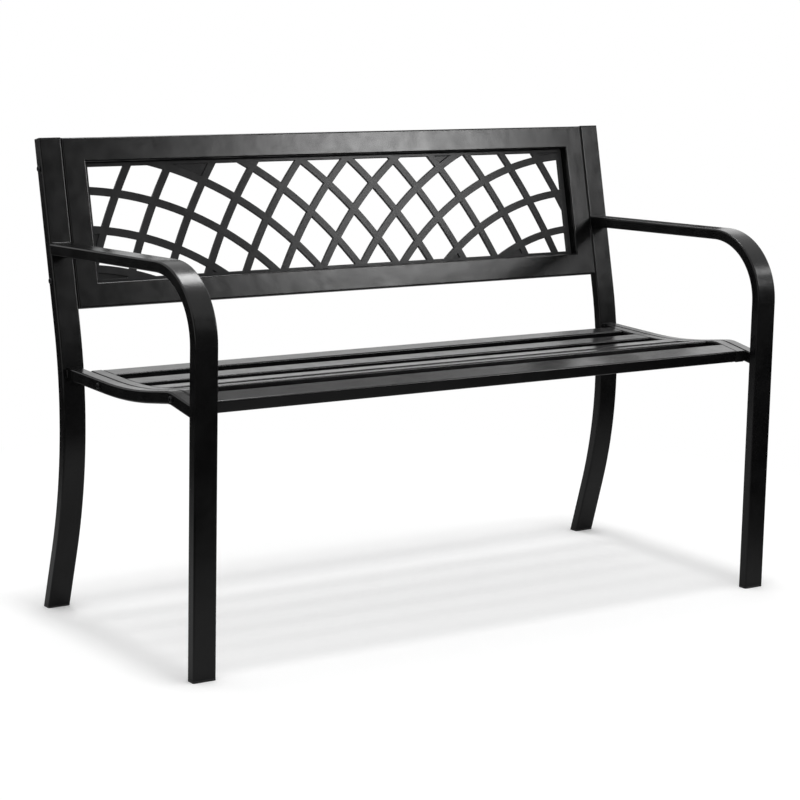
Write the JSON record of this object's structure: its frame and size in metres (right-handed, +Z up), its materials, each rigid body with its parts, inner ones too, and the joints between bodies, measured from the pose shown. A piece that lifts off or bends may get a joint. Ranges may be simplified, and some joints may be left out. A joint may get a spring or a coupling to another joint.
{
  "type": "metal garden bench",
  "caption": "Garden bench with tubular steel side frames, curved armrests, a slatted contoured seat and a leaning back with a crossed-arc lattice panel.",
  "frame": {"origin": "on the floor, in the middle of the bench's width and depth", "axes": "+X to the viewer's right as they face the bench, +Y to the rear (the front faces -Y), +Z up"},
  "size_m": [1.2896, 0.5858, 0.8508],
  "materials": {
    "frame_paint": "satin black powder coat",
    "seat_paint": "satin black powder coat",
    "lattice_plastic": "satin black moulded plastic",
    "plug_plastic": "matt black moulded plastic",
    "black_fixings": "black oxide steel",
    "zinc_inserts": "zinc plated steel"
  },
  "bodies": {
    "root": {"left_front_leg_arm": "frame_paint", "right_front_leg_arm": "frame_paint", "left_rear_leg_post": "frame_paint", "right_rear_leg_post": "frame_paint", "left_seat_rail": "frame_paint", "right_seat_rail": "frame_paint", "left_seat_end_bar": "seat_paint", "right_seat_end_bar": "seat_paint", "seat_slat_1": "seat_paint", "seat_slat_2": "seat_paint", "seat_slat_3": "seat_paint", "seat_slat_4": "seat_paint", "seat_slat_5": "seat_paint", "back_top_rail": "frame_paint", "back_bottom_rail": "frame_paint", "left_back_stile": "frame_paint", "right_back_stile": "frame_paint", "lattice_panel": "lattice_plastic", "lattice_screws": "black_fixings", "left_front_foot": "plug_plastic", "right_front_foot": "plug_plastic", "left_rear_foot": "plug_plastic", "right_rear_foot": "plug_plastic", "left_post_cap": "plug_plastic", "right_post_cap": "plug_plastic", "seat_end_bar_plugs": "plug_plastic", "seat_bolts": "black_fixings", "seat_inserts": "zinc_inserts", "back_bolts": "black_fixings", "back_inserts": "zinc_inserts"}
  },
  "joints": []
}
